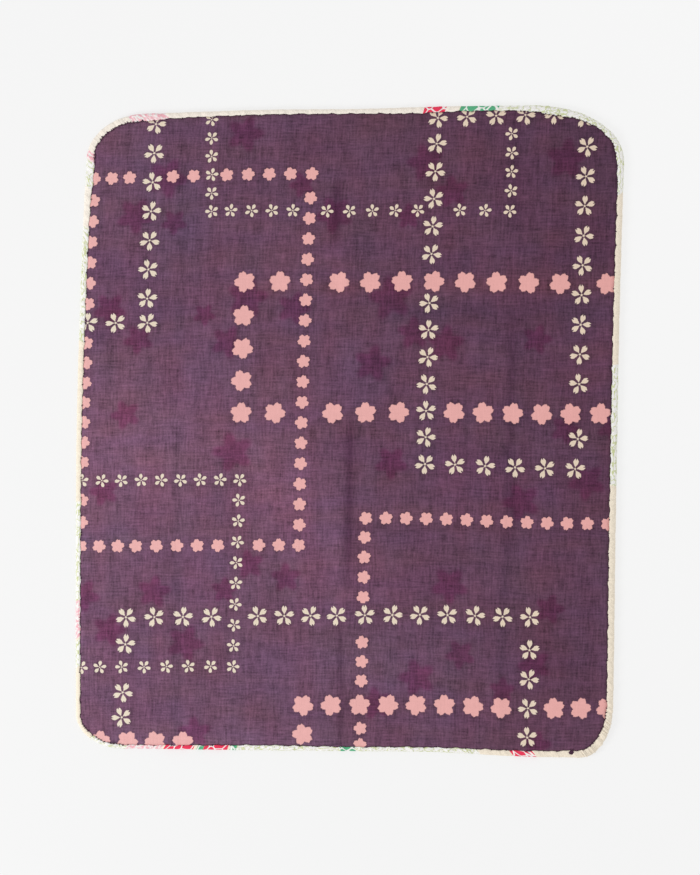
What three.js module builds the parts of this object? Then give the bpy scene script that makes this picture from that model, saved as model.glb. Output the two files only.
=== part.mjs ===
// Two-ply cotton handkerchief lying flat, face up.
// Millimetres, +Z up. The origin lies under the middle of the cloth, on the surface it rests on.
// +X points to the cloth's right side and +Y to its upper side, as seen from above.
//
// Positions on the cloth are given twice. "Cut" coordinates u and v are those of the rounded
// rectangle that was cut out, before it was laid down. lay() turns them into the x and y of the
// slightly skewed, swollen shape in which the washed and ironed cloth lies.

import * as THREE from "three";

// The cut rectangle, and how thick and how far apart the two plies are
const CUT_WIDTH = 290;
const CUT_LENGTH = 348;
const BACK_THICKNESS = 1.2;
const FRONT_THICKNESS = 1.0;
const PLY_GAP = 0.34;

// The rolled rim: the back cloth comes round the edge and stands a little above the front cloth.
// Its width is given at the middle of each side, and in the corners' table.
const RIM_HEIGHT = 2.9;
const RIM_AT_MIDDLE = { bottom: 2.2, top: 2.6, left: 2.3, right: 3.2 };
const RIM_TO_FRONT = 0.36;

// The roll's section, from the surface it rests on, over its outer side, to the front cloth: how
// far in as a share of the rim's width, and how high as a share of its height
const RIM_FOOT_IN = 0.28;
const ROLL = [
  { in: 0.08, high: 0.2 },
  { in: 0, high: 0.5 },
  { in: 0.12, high: 0.82 },
  { in: 0.42, high: 1 },
  { in: 0.78, high: 0.94 },
  { in: 0.97, high: 0.72 },
];

// The front cloth's cut edge is rounded off above this share of its thickness, by this much
const FRONT_EDGE_SHARE = 0.6;
const FRONT_EDGE_ROUND = 0.4;

// Colours of the two cloths
const PURPLE = "#674a60";
const CREAM = "#eee2d2";

// Where the four sides would meet if the corners were sharp, how far each corner's rounding
// reaches along the side that runs across and along the side that runs up, and the rim's width
const CORNERS = {
  bottomLeft: { x: -147.9, y: -171.3, reachAcross: 25, reachUp: 19, rim: 1.9 },
  bottomRight: { x: 141.5, y: -176.8, reachAcross: 17, reachUp: 27, rim: 3.8 },
  topRight: { x: 149.0, y: 176.0, reachAcross: 50, reachUp: 31, rim: 3.2 },
  topLeft: { x: -140.9, y: 169.9, reachAcross: 30, reachUp: 23, rim: 3.3 },
};

// How far each side swells out of the straight line between its corners, at five even stations,
// from left to right on the sides that run across and from bottom to top on the others
const SWELL = {
  bottom: [-0.3, -0.5, -1.0, -1.4, 0.1],
  top: [0.6, 1.1, 0.5, 0.9, 0.4],
  left: [1.2, 2.3, 3.1, 2.8, 1.8],
  right: [-0.2, -0.7, -0.9, -1.1, -0.7],
};

// Creases left by folding the cloth in four one way and in three the other way. A crease that
// runs up stands at one u, and a crease that runs across at one v. Rise is negative in a trough.
const CREASES = [
  { name: "middle", runs: "up", at: -2.5, rise: 0.5, halfWidth: 5.0, waves: 2.3 },
  { name: "left quarter", runs: "up", at: -90, rise: -0.2, halfWidth: 5.0, waves: 1.6 },
  { name: "right quarter", runs: "up", at: 84, rise: 0.4, halfWidth: 4.5, waves: 2.8 },
  { name: "upper third", runs: "across", at: 56, rise: 0.3, halfWidth: 5.0, waves: 1.9 },
  { name: "lower third", runs: "across", at: -54, rise: 0.25, halfWidth: 5.5, waves: 2.1 },
];
const CREASE_STEADY_SHARE = 0.65;

// Broad, low waves of the whole cloth, each lifting it by up to its rise
const SWAYS = [
  { rise: 0.3, wavesAcross: 1.4, wavesUp: 0.9, phase: 0.6 },
  { rise: 0.15, wavesAcross: -0.8, wavesUp: 2.2, phase: 2.1 },
];

// The rim holds the cloth flat: waves and creases start and reach their full rise this far from
// the cut edge
const RELIEF_START = 5;
const RELIEF_FULL = 18;

// Widest step between two rows or columns of the surface's grid, and the steps in half a corner
const GRID_STEP = 24;
const CORNER_STEPS = 4;

// A smooth curve through the five stations of a side, starting and ending at nothing
function swellAlong(stations, share) {
  const knots = [0, ...stations, 0];
  const place = THREE.MathUtils.clamp(share, 0, 1) * (knots.length - 1);
  const index = Math.min(Math.floor(place), knots.length - 2);
  const before = knots[Math.max(index - 1, 0)];
  const after = knots[Math.min(index + 2, knots.length - 1)];
  const t = place - index;
  const slopeIn = (knots[index + 1] - before) / 2;
  const slopeOut = (after - knots[index]) / 2;
  return (
    (2 * t ** 3 - 3 * t ** 2 + 1) * knots[index] +
    (t ** 3 - 2 * t ** 2 + t) * slopeIn +
    (3 * t ** 2 - 2 * t ** 3) * knots[index + 1] +
    (t ** 3 - t ** 2) * slopeOut
  );
}

// The x and y at which the cut point (u, v) lies before the whole is centred
function layUncentred(u, v) {
  const across = u / CUT_WIDTH + 0.5;
  const up = v / CUT_LENGTH + 0.5;
  const { bottomLeft, bottomRight, topLeft, topRight } = CORNERS;
  const bottomX = THREE.MathUtils.lerp(bottomLeft.x, bottomRight.x, across);
  const bottomY = THREE.MathUtils.lerp(bottomLeft.y, bottomRight.y, across);
  const topX = THREE.MathUtils.lerp(topLeft.x, topRight.x, across);
  const topY = THREE.MathUtils.lerp(topLeft.y, topRight.y, across);
  const x = THREE.MathUtils.lerp(bottomX, topX, up);
  const y = THREE.MathUtils.lerp(bottomY, topY, up);
  const swellX = swellAlong(SWELL.right, up) * across - swellAlong(SWELL.left, up) * (1 - across);
  const swellY = swellAlong(SWELL.top, across) * up - swellAlong(SWELL.bottom, across) * (1 - up);
  return new THREE.Vector2(x + swellX, y + swellY);
}

// Even steps no wider than GRID_STEP between two places, the first place left out
function evenSteps(from, to) {
  const count = Math.ceil(Math.abs(to - from) / GRID_STEP);
  return Array.from({ length: count }, (_, i) => from + ((to - from) * (i + 1)) / count);
}

// The places of the grid's lines in one direction, as shares of the way from side to side:
// three lines on each crease, lines at even angles in each corner, and even steps between them
function gridLines(runs, size, reachLow, reachHigh) {
  const stops = [-size / 2 + reachLow, size / 2 - reachHigh];
  for (const crease of CREASES.filter((one) => one.runs === runs)) {
    stops.push(crease.at - crease.halfWidth, crease.at, crease.at + crease.halfWidth);
  }
  stops.sort((a, b) => a - b);
  const places = [stops[0]];
  for (let i = 1; i < stops.length; i += 1) {
    places.push(...evenSteps(stops[i - 1], stops[i]));
  }
  for (let step = 1; step <= CORNER_STEPS; step += 1) {
    const out = Math.SQRT2 * Math.sin(((Math.PI / 4) * step) / CORNER_STEPS);
    places.push(-size / 2 + reachLow * (1 - out));
    places.push(size / 2 - reachHigh * (1 - out));
  }
  return places.sort((a, b) => a - b).map((place) => place / size + 0.5);
}

// The grid's columns and rows suit the middling reach of the two corners at each end
const middling = (one, other, reach) => (CORNERS[one][reach] + CORNERS[other][reach]) / 2;
const COLUMNS = gridLines(
  "up",
  CUT_WIDTH,
  middling("bottomLeft", "topLeft", "reachAcross"),
  middling("bottomRight", "topRight", "reachAcross")
);
const ROWS = gridLines(
  "across",
  CUT_LENGTH,
  middling("bottomLeft", "bottomRight", "reachUp"),
  middling("topLeft", "topRight", "reachUp")
);

// The rim's width on a side, at a share of the way from one of its corners to the other
function rimWidth(side, from, to, share) {
  const even = THREE.MathUtils.lerp(CORNERS[from].rim, CORNERS[to].rim, share);
  const bow = RIM_AT_MIDDLE[side] - (CORNERS[from].rim + CORNERS[to].rim) / 2;
  return even + bow * 4 * share * (1 - share);
}

// A cut point, at shares of the way from left to right and from bottom to top of the surface
// that is inset from the cut edge by a share of the rim's width and by a clearance. Near a corner
// the square sheet is drawn in to the corner's quarter ellipse.
function cutPoint(across, up, rimShare, clearance) {
  const inset = (width) => width * rimShare + clearance;
  const left = -CUT_WIDTH / 2 + inset(rimWidth("left", "bottomLeft", "topLeft", up));
  const right = CUT_WIDTH / 2 - inset(rimWidth("right", "bottomRight", "topRight", up));
  const bottom = -CUT_LENGTH / 2 + inset(rimWidth("bottom", "bottomLeft", "bottomRight", across));
  const top = CUT_LENGTH / 2 - inset(rimWidth("top", "topLeft", "topRight", across));
  const u = THREE.MathUtils.lerp(left, right, across);
  const v = THREE.MathUtils.lerp(bottom, top, up);
  const corner = CORNERS[`${up < 0.5 ? "bottom" : "top"}${across < 0.5 ? "Left" : "Right"}`];
  const reachAcross = corner.reachAcross - inset(corner.rim);
  const reachUp = corner.reachUp - inset(corner.rim);
  const outAcross = Math.max(1 - Math.min(u - left, right - u) / reachAcross, 0);
  const outUp = Math.max(1 - Math.min(v - bottom, top - v) / reachUp, 0);
  const drawnAcross = outAcross * reachAcross * (1 - Math.sqrt(1 - outUp ** 2 / 2));
  const drawnUp = outUp * reachUp * (1 - Math.sqrt(1 - outAcross ** 2 / 2));
  return new THREE.Vector2(u - Math.sign(u) * drawnAcross, v - Math.sign(v) * drawnUp);
}

// Cut points all over such a surface, as rows of columns
function cutGrid(rimShare, clearance = 0) {
  return ROWS.map((up) => COLUMNS.map((across) => cutPoint(across, up, rimShare, clearance)));
}

// The edge of a grid, anticlockwise as seen from above
function edgeOf(grid) {
  const last = grid[0].length - 1;
  return [
    ...grid[0].slice(0, last),
    ...grid.slice(0, -1).map((row) => row[last]),
    ...grid.at(-1).slice(1).reverse(),
    ...grid.slice(1).reverse().map((row) => row[0]),
  ];
}

// The middle of the laid outline's box, which becomes the origin
const OUTLINE_BOX = new THREE.Box2().setFromPoints(
  edgeOf(cutGrid(0)).map((point) => layUncentred(point.x, point.y))
);
const OUTLINE_MIDDLE = OUTLINE_BOX.getCenter(new THREE.Vector2());

function lay(point) {
  return layUncentred(point.x, point.y).sub(OUTLINE_MIDDLE);
}

// How far the cloth stands above its flat place at a cut point: its creases and broad waves
function relief(point) {
  const across = point.x / CUT_WIDTH + 0.5;
  const up = point.y / CUT_LENGTH + 0.5;
  const toSide = CUT_WIDTH / 2 - Math.abs(point.x);
  const toEnd = CUT_LENGTH / 2 - Math.abs(point.y);
  const fade = THREE.MathUtils.smoothstep(Math.min(toSide, toEnd), RELIEF_START, RELIEF_FULL);
  let height = 0;
  for (const crease of CREASES) {
    const away = (crease.runs === "up" ? point.x : point.y) - crease.at;
    const along = crease.runs === "up" ? up : across;
    const uneven = Math.sin(2 * Math.PI * crease.waves * along + crease.at);
    const strength = CREASE_STEADY_SHARE + (1 - CREASE_STEADY_SHARE) * uneven;
    height += crease.rise * strength * Math.exp(-((away / crease.halfWidth) ** 2) * 2);
  }
  for (const sway of SWAYS) {
    const turn = sway.wavesAcross * across + sway.wavesUp * up;
    height += (sway.rise * (1 + Math.sin(2 * Math.PI * turn + sway.phase))) / 2;
  }
  return height * fade;
}

// A closed shell: an underside, walls that climb round the edge ring by ring, and a top.
// Each of them has its inset from the cut edge and a height, or a function giving the height.
function shell(underside, walls, top) {
  const positions = [];
  const faces = [];
  const place = (point, height) => {
    const { x, y } = lay(point);
    positions.push(x, y, typeof height === "function" ? height(point) : height);
    return positions.length / 3 - 1;
  };
  const surface = ({ rimShare, clearance, height }) =>
    cutGrid(rimShare, clearance).map((row) => row.map((point) => place(point, height)));
  const quad = (a, b, c, d) => faces.push(a, b, c, a, c, d);
  const cover = (grid, facesUp) => {
    for (let row = 1; row < grid.length; row += 1) {
      for (let column = 1; column < grid[row].length; column += 1) {
        const corners = [
          grid[row - 1][column - 1],
          grid[row - 1][column],
          grid[row][column],
          grid[row][column - 1],
        ];
        quad(...(facesUp ? corners : corners.reverse()));
      }
    }
  };
  const lower = surface(underside);
  const upper = surface(top);
  const rings = [
    edgeOf(lower),
    ...walls.map(({ rimShare, clearance, height }) =>
      edgeOf(cutGrid(rimShare, clearance)).map((point) => place(point, height))
    ),
    edgeOf(upper),
  ];
  cover(lower, false);
  for (let ring = 1; ring < rings.length; ring += 1) {
    const below = rings[ring - 1];
    const above = rings[ring];
    below.forEach((corner, i) => {
      const next = (i + 1) % below.length;
      quad(corner, below[next], above[next], above[i]);
    });
  }
  cover(upper, true);
  const geometry = new THREE.BufferGeometry();
  geometry.setAttribute("position", new THREE.Float32BufferAttribute(positions, 3));
  geometry.setIndex(faces);
  geometry.computeVertexNormals();
  return geometry;
}

function cloth(name, geometry, color) {
  const material = new THREE.MeshStandardMaterial({ color, roughness: 0.9, metalness: 0 });
  const mesh = new THREE.Mesh(geometry, material);
  mesh.name = name;
  return mesh;
}

// The cream back cloth: flat underneath, and rolled up round the edge as the rim
function backCloth() {
  const underside = { rimShare: RIM_FOOT_IN, height: 0 };
  const roll = ROLL.map((point) => ({ rimShare: point.in, height: RIM_HEIGHT * point.high }));
  const top = { rimShare: 1, height: (point) => BACK_THICKNESS + relief(point) };
  return cloth("back_cloth", shell(underside, roll, top), CREAM);
}

// The purple front cloth, lying on the back cloth inside the rim
function frontCloth() {
  const seat = BACK_THICKNESS + PLY_GAP;
  const underside = {
    rimShare: 1,
    clearance: RIM_TO_FRONT,
    height: (point) => seat + relief(point),
  };
  const cutEdge = {
    rimShare: 1,
    clearance: RIM_TO_FRONT,
    height: (point) => seat + FRONT_THICKNESS * FRONT_EDGE_SHARE + relief(point),
  };
  const top = {
    rimShare: 1,
    clearance: RIM_TO_FRONT + FRONT_EDGE_ROUND,
    height: (point) => seat + FRONT_THICKNESS + relief(point),
  };
  return cloth("front_cloth", shell(underside, [cutEdge], top), PURPLE);
}

const handkerchief = new THREE.Group();
handkerchief.add(backCloth(), frontCloth());

export default handkerchief;
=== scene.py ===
# Two-ply cotton handkerchief lying open and flat, face up, on a pale table.
# The frame is in metres, +Z up, with its origin under the middle of the cloth. Sizes here are
# in millimetres, and MM turns them into metres where Blender takes them.

import math

import bpy
import numpy as np
from mathutils import Matrix
from mathutils.kdtree import KDTree


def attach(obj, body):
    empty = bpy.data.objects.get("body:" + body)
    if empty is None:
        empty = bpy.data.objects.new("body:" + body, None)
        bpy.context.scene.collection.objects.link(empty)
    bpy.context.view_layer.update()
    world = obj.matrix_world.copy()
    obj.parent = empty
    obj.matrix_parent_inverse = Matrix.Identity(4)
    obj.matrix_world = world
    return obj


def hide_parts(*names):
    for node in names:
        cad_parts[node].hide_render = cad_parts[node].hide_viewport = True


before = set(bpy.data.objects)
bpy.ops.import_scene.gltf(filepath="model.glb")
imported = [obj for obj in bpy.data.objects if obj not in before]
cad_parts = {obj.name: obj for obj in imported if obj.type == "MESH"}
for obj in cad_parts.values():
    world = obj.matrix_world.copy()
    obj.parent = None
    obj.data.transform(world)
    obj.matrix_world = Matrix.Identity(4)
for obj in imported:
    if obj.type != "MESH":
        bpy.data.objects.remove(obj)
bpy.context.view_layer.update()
bpy.ops.object.select_all(action="DESELECT")


# Camera
# It looks straight down from 2.5 m with a long lens, so the cloth fills the photograph's frame:
# 378 mm across and 472.5 mm up, centred a little below the cloth's middle.

MM = 0.001
VIEW_LENGTH = 472.5
VIEW_CENTRE_UP = -3.24
CAMERA_HEIGHT = 2500.0
SENSOR = 36.0

camera_data = bpy.data.cameras.new("camera")
camera_data.sensor_width = SENSOR
camera_data.lens = SENSOR * CAMERA_HEIGHT / VIEW_LENGTH
camera_data.clip_end = 4 * CAMERA_HEIGHT * MM
camera = bpy.data.objects.new("camera", camera_data)
camera.location = (0, VIEW_CENTRE_UP * MM, CAMERA_HEIGHT * MM)
bpy.context.scene.collection.objects.link(camera)
bpy.context.scene.camera = camera


# Back cloth
# Thin cream cotton with a print of its own. It lies flat on the table, and its edge is rolled up
# and over the front cloth's edge as a soft puffed rim, gathered where it goes round the corners.

CUT_WIDTH = 290.0
CUT_LENGTH = 348.0
BACK_THICKNESS = 1.2
RIM_HEIGHT = 2.9
RIM_AT_MIDDLE = {"bottom": 2.2, "top": 2.6, "left": 2.75, "right": 3.8}

# The corners' laid places if they were sharp, how far their rounding reaches along the side that
# runs across and along the side that runs up, and the rim's width, from the lower left corner
# to the lower right, upper left and upper right one
CORNER_X = np.array([-147.9, 141.5, -140.9, 149.0])
CORNER_Y = np.array([-171.3, -176.8, 169.9, 176.0])
REACH_ACROSS = np.array([25.0, 17.0, 30.0, 50.0])
REACH_UP = np.array([19.0, 27.0, 23.0, 31.0])
CORNER_RIM = np.array([2.3, 3.8, 3.6, 3.3])
LOWER_LEFT, LOWER_RIGHT, UPPER_LEFT, UPPER_RIGHT = range(4)

# Where the seam runs further in, so that the rim is wider: the place on the cut cloth, how much
# wider it is there, and how far round that reaches
WIDER_RIM = [
    (-119, 163, 2.1, 13), (-138, 147, 1.3, 12), (115, 168, 1.9, 17), (141, 150, 1.3, 9),
    (32, 171, 0.9, 22), (-45, -172, 0.8, 35), (142, -173, 0.7, 13),
]

# The seam wavers a little: the length of each wave and how far it goes in or out
SEAM_WAVERS = [(5.3, 0.13), (8.9, 0.14), (14.7, 0.14)]

# How far each side swells out of its straight line, at five even stations
SWELL = {
    "bottom": [-0.3, -0.5, -1.0, -1.4, 0.1],
    "top": [0.6, 1.1, 0.5, 0.9, 0.4],
    "left": [1.2, 2.3, 3.1, 2.8, 1.8],
    "right": [-0.2, -0.7, -0.9, -1.1, -0.7],
}

# Creases left by folding: which way each one runs, its place on the cut cloth, its rise (negative
# in a trough), its half width and how many times it comes and goes along its length
CREASES = [
    {"runs": "up", "at": -2.5, "rise": 0.5, "half_width": 5.0, "waves": 2.3},
    {"runs": "up", "at": -90.0, "rise": -0.2, "half_width": 5.0, "waves": 1.6},
    {"runs": "up", "at": 84.0, "rise": 0.4, "half_width": 4.5, "waves": 2.8},
    {"runs": "across", "at": 56.0, "rise": 0.3, "half_width": 5.0, "waves": 1.9},
    {"runs": "across", "at": -54.0, "rise": 0.25, "half_width": 5.5, "waves": 2.1},
]

# The share of a crease's rise that is steady, the broad waves between the creases, and how far
# from the edge all this relief starts and is full
CREASE_STEADY_SHARE = 0.65
SWAYS = [
    {"rise": 0.3, "across": 1.4, "up": 0.9, "phase": 0.6},
    {"rise": 0.15, "across": -0.8, "up": 2.2, "phase": 2.1},
]
RELIEF_START = 5.0
RELIEF_FULL = 18.0


def smooth_between(value, start, full):
    share = np.clip((value - start) / (full - start), 0, 1)
    return share * share * (3 - 2 * share)


def swell_along(side, share):
    """How far a side swells out at a share of its length, on a smooth curve through its stations."""
    knots = np.array([0.0, *SWELL[side], 0.0])
    place = np.clip(share, 0, 1) * (len(knots) - 1)
    index = np.minimum(place.astype(int), len(knots) - 2)
    here, ahead = knots[index], knots[index + 1]
    slope_in = (ahead - knots[np.maximum(index - 1, 0)]) / 2
    slope_out = (knots[np.minimum(index + 2, len(knots) - 1)] - here) / 2
    t = place - index
    return (
        (2 * t**3 - 3 * t**2 + 1) * here
        + (t**3 - 2 * t**2 + t) * slope_in
        + (3 * t**2 - 2 * t**3) * ahead
        + (t**3 - t**2) * slope_out
    )


def between_corners(values, across, up):
    """A value given at the four corners, spread evenly over the cloth."""
    low = values[LOWER_LEFT] * (1 - across) + values[LOWER_RIGHT] * across
    high = values[UPPER_LEFT] * (1 - across) + values[UPPER_RIGHT] * across
    return low * (1 - up) + high * up


def laid(u, v):
    """Where a point of the cut cloth lies on the table, in millimetres."""
    across, up = u / CUT_WIDTH + 0.5, v / CUT_LENGTH + 0.5
    x = between_corners(CORNER_X, across, up)
    y = between_corners(CORNER_Y, across, up)
    x = x + swell_along("right", up) * across - swell_along("left", up) * (1 - across)
    y = y + swell_along("top", across) * up - swell_along("bottom", across) * (1 - up)
    return x, y


def rim_width(side, start, end, share):
    """The rim's width on a side, at a share of the way from its start corner to its end corner."""
    even = CORNER_RIM[start] * (1 - share) + CORNER_RIM[end] * share
    bow = RIM_AT_MIDDLE[side] - (CORNER_RIM[start] + CORNER_RIM[end]) / 2
    return even + bow * 4 * share * (1 - share)


def cut_point(across, up, rim_share, clearance):
    """Points of the cut cloth, inset from its edge by a share of the rim's width and a clearance.
    Near a corner the square grid is drawn in to the corner's quarter ellipse."""
    for wide_u, wide_v, wider, reach in WIDER_RIM:
        away = np.hypot((across - 0.5) * CUT_WIDTH - wide_u, (up - 0.5) * CUT_LENGTH - wide_v)
        clearance = clearance + rim_share * wider * np.exp(-((away / reach) ** 2))
    for length, far in SEAM_WAVERS:
        turn_across = 2 * math.pi * across * CUT_WIDTH / length
        turn_up = 2 * math.pi * up * CUT_LENGTH / length
        clearance = clearance + rim_share**4 * far * (np.sin(turn_across) + np.sin(turn_up))
    left = rim_width("left", LOWER_LEFT, UPPER_LEFT, up) * rim_share + clearance - CUT_WIDTH / 2
    right = CUT_WIDTH / 2 - rim_width("right", LOWER_RIGHT, UPPER_RIGHT, up) * rim_share - clearance
    low = rim_width("bottom", LOWER_LEFT, LOWER_RIGHT, across) * rim_share
    low = low + clearance - CUT_LENGTH / 2
    high = CUT_LENGTH / 2 - clearance
    high = high - rim_width("top", UPPER_LEFT, UPPER_RIGHT, across) * rim_share
    u = left * (1 - across) + right * across
    v = low * (1 - up) + high * up
    corner = (up >= 0.5) * 2 + (across >= 0.5)
    inset = CORNER_RIM[corner] * rim_share + clearance
    reach_across = REACH_ACROSS[corner] - inset
    reach_up = REACH_UP[corner] - inset
    out_across = np.maximum(1 - np.minimum(u - left, right - u) / reach_across, 0)
    out_up = np.maximum(1 - np.minimum(v - low, high - v) / reach_up, 0)
    drawn_across = out_across * reach_across * (1 - np.sqrt(1 - out_up**2 / 2))
    drawn_up = out_up * reach_up * (1 - np.sqrt(1 - out_across**2 / 2))
    return u - np.sign(u) * drawn_across, v - np.sign(v) * drawn_up


def crease_strength(crease, across, up):
    along = up if crease["runs"] == "up" else across
    uneven = np.sin(2 * math.pi * crease["waves"] * along + crease["at"])
    return CREASE_STEADY_SHARE + (1 - CREASE_STEADY_SHARE) * uneven


def relief(u, v):
    """How far the creases and broad waves lift the cloth at a cut point, in millimetres."""
    across, up = u / CUT_WIDTH + 0.5, v / CUT_LENGTH + 0.5
    to_edge = np.minimum(CUT_WIDTH / 2 - abs(u), CUT_LENGTH / 2 - abs(v))
    height = 0
    for crease in CREASES:
        away = (u if crease["runs"] == "up" else v) - crease["at"]
        bump = np.exp(-2 * (away / crease["half_width"]) ** 2)
        height = height + crease["rise"] * crease_strength(crease, across, up) * bump
    for sway in SWAYS:
        turn = 2 * math.pi * (sway["across"] * across + sway["up"] * up) + sway["phase"]
        height = height + sway["rise"] * (1 + np.sin(turn)) / 2
    return height * smooth_between(to_edge, RELIEF_START, RELIEF_FULL)


def grid_lines(size, reaches, step, corner_steps, stops=()):
    """The grid's lines in one direction, as shares of the way from side to side: even angles in
    the corners, which reach in by the mean of the given reaches, and even steps between."""
    low_reach, high_reach = reaches
    bend = math.sqrt(2) * np.sin(np.linspace(0, math.pi / 4, corner_steps + 1))
    low = -size / 2 + low_reach * (1 - bend[::-1])
    high = size / 2 - high_reach * (1 - bend)
    marks = sorted([low[-1], *stops, high[0]])
    runs = [
        np.linspace(start, end, math.ceil((end - start) / step) + 1)[1:]
        for start, end in zip(marks, marks[1:])
    ]
    return np.concatenate([low, *runs, high[1:]]) / size + 0.5


ACROSS_REACHES = (
    (REACH_ACROSS[LOWER_LEFT] + REACH_ACROSS[UPPER_LEFT]) / 2,
    (REACH_ACROSS[LOWER_RIGHT] + REACH_ACROSS[UPPER_RIGHT]) / 2,
)
UP_REACHES = (
    (REACH_UP[LOWER_LEFT] + REACH_UP[LOWER_RIGHT]) / 2,
    (REACH_UP[UPPER_LEFT] + REACH_UP[UPPER_RIGHT]) / 2,
)

# The flat of the back cloth has a coarse grid, whose own edge stands a little inside the rim's
# first or last ring. Each edge step of it is cut into four for the rim, which needs points well
# under a millimetre apart.
BACK_STEP = 2.4
BACK_CORNER_STEPS = 14
GRID_NARROWER = 1.2
RIM_CUTS = 4
back_columns = grid_lines(CUT_WIDTH, ACROSS_REACHES, BACK_STEP, BACK_CORNER_STEPS)
back_rows = grid_lines(CUT_LENGTH, UP_REACHES, BACK_STEP, BACK_CORNER_STEPS)


def finer(lines, cuts):
    """The same lines with each step cut into so many."""
    return np.interp(np.arange((len(lines) - 1) * cuts + 1) / cuts, np.arange(len(lines)), lines)


def round_edge(columns, rows):
    """The shares of the points on the square's edge, anticlockwise from the lower left corner."""
    zeros, ones = np.zeros, np.ones
    across = [columns[:-1], ones(len(rows) - 1), columns[:0:-1], zeros(len(rows) - 1)]
    up = [zeros(len(columns) - 1), rows[:-1], ones(len(columns) - 1), rows[:0:-1]]
    return np.concatenate(across), np.concatenate(up)


rim_across, rim_up = round_edge(finer(back_columns, RIM_CUTS), finer(back_rows, RIM_CUTS))
outline_x, outline_y = laid(*cut_point(rim_across, rim_up, 0, 0))
MIDDLE_X = (outline_x.min() + outline_x.max()) / 2
MIDDLE_Y = (outline_y.min() + outline_y.max()) / 2


def placed(u, v, height):
    """Mesh points in metres, from cut points and heights in millimetres."""
    x, y = laid(u, v)
    return np.stack([x - MIDDLE_X, y - MIDDLE_Y, height + 0 * x], -1).reshape(-1, 3) * MM


# How far round the cloth each rim point is, and how near a corner's rounding, from 0 to 1
edge_step = np.hypot(np.roll(outline_x, -1) - outline_x, np.roll(outline_y, -1) - outline_y)
round_way = np.concatenate([[0], np.cumsum(edge_step)[:-1]])
rim_u, rim_v = cut_point(rim_across, rim_up, 0, 0)
rim_corner = (rim_up >= 0.5) * 2 + (rim_across >= 0.5)
reach_across, reach_up = REACH_ACROSS[rim_corner], REACH_UP[rim_corner]
into_across = (abs(rim_u) - CUT_WIDTH / 2 + reach_across) / reach_across
into_up = (abs(rim_v) - CUT_LENGTH / 2 + reach_up) / reach_up
CORNER_STARTS, CORNER_FULL = -0.25, 0.2
corner_near = smooth_between(np.minimum(into_across, into_up), CORNER_STARTS, CORNER_FULL)

# The roll's section: how far in as a share of the rim's width, and how high as a share of its
# height. Puffs lift and widen it unevenly, and it is gathered into small pleats, faint along the
# sides and deeper at the corners, which are in the same order as above.
ROLL_IN = np.array([0.28, 0.17, 0.08, 0.02, 0, 0.01, 0.05, 0.12, 0.24, 0.4, 0.6, 0.8, 0.92, 0.98, 1.0])
ROLL_HIGH = np.array([0, 0.06, 0.2, 0.34, 0.5, 0.62, 0.73, 0.82, 0.9, 0.96, 1, 0.99, 0.95, 0.87, 0.5])
PUFFS = [
    {"length": 9.7, "share": 0.05, "phase": 0.4},
    {"length": 5.3, "share": 0.04, "phase": 1.9},
    {"length": 23.0, "share": 0.04, "phase": 4.0},
]
PLEAT_LENGTHS = (1.5, 2.3, 3.7)
PLEAT_WANDER, PLEAT_WANDER_LENGTH = 1.3, 17.0
PLEAT_SHARE = 0.07
SIDE_PLEATS = 0.25
CORNER_PLEATS = np.array([0.8, 1.1, 0.4, 0.6])
PUFF_WIDENS = 0.5

puff = 0
for wave in PUFFS:
    puff = puff + wave["share"] * np.sin(2 * math.pi * round_way / wave["length"] + wave["phase"])
pleat_way = round_way + PLEAT_WANDER * np.sin(2 * math.pi * round_way / PLEAT_WANDER_LENGTH)
pleat_depth = PLEAT_SHARE * (SIDE_PLEATS + (CORNER_PLEATS[rim_corner] - SIDE_PLEATS) * corner_near)
for length in PLEAT_LENGTHS:
    puff = puff + pleat_depth * np.sin(2 * math.pi * pleat_way / length + length)

back_points = []
back_cut = []
roll_starts = []
for share_in, share_high in zip(ROLL_IN, ROLL_HIGH):
    widened = share_in - PUFF_WIDENS * puff * (1 - share_in) * share_high
    u, v = cut_point(rim_across, rim_up, widened, 0)
    roll_starts.append(sum(len(part) for part in back_points))
    back_points.append(placed(u, v, RIM_HEIGHT * share_high * (1 + puff * share_high)))
    back_cut.append(np.stack([u, v], -1))

across_grid, up_grid = np.meshgrid(back_columns, back_rows)
flat_starts = []
for rim_share, is_top in ((ROLL_IN[0], False), (1, True)):
    u, v = cut_point(across_grid, up_grid, rim_share, 0)
    edge_in = 1 - GRID_NARROWER / CUT_WIDTH
    u, v = u * edge_in, v * edge_in
    flat_starts.append(sum(len(part) for part in back_points))
    height = BACK_THICKNESS + relief(u, v) if is_top else 0 * u
    back_points.append(placed(u, v, height))
    back_cut.append(np.stack([u, v], -1).reshape(-1, 2))


def grid_faces(columns, rows):
    """A grid's faces, seen from above, and the points round its edge, as round_edge gives them."""
    index = np.arange(len(columns) * len(rows)).reshape(len(rows), len(columns))
    corners = [index[:-1, :-1], index[:-1, 1:], index[1:, 1:], index[1:, :-1]]
    edge = np.concatenate([index[0, :-1], index[:-1, -1], index[-1, :0:-1], index[:0:-1, 0]])
    return np.stack(corners, -1).reshape(-1, 4), edge


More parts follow.
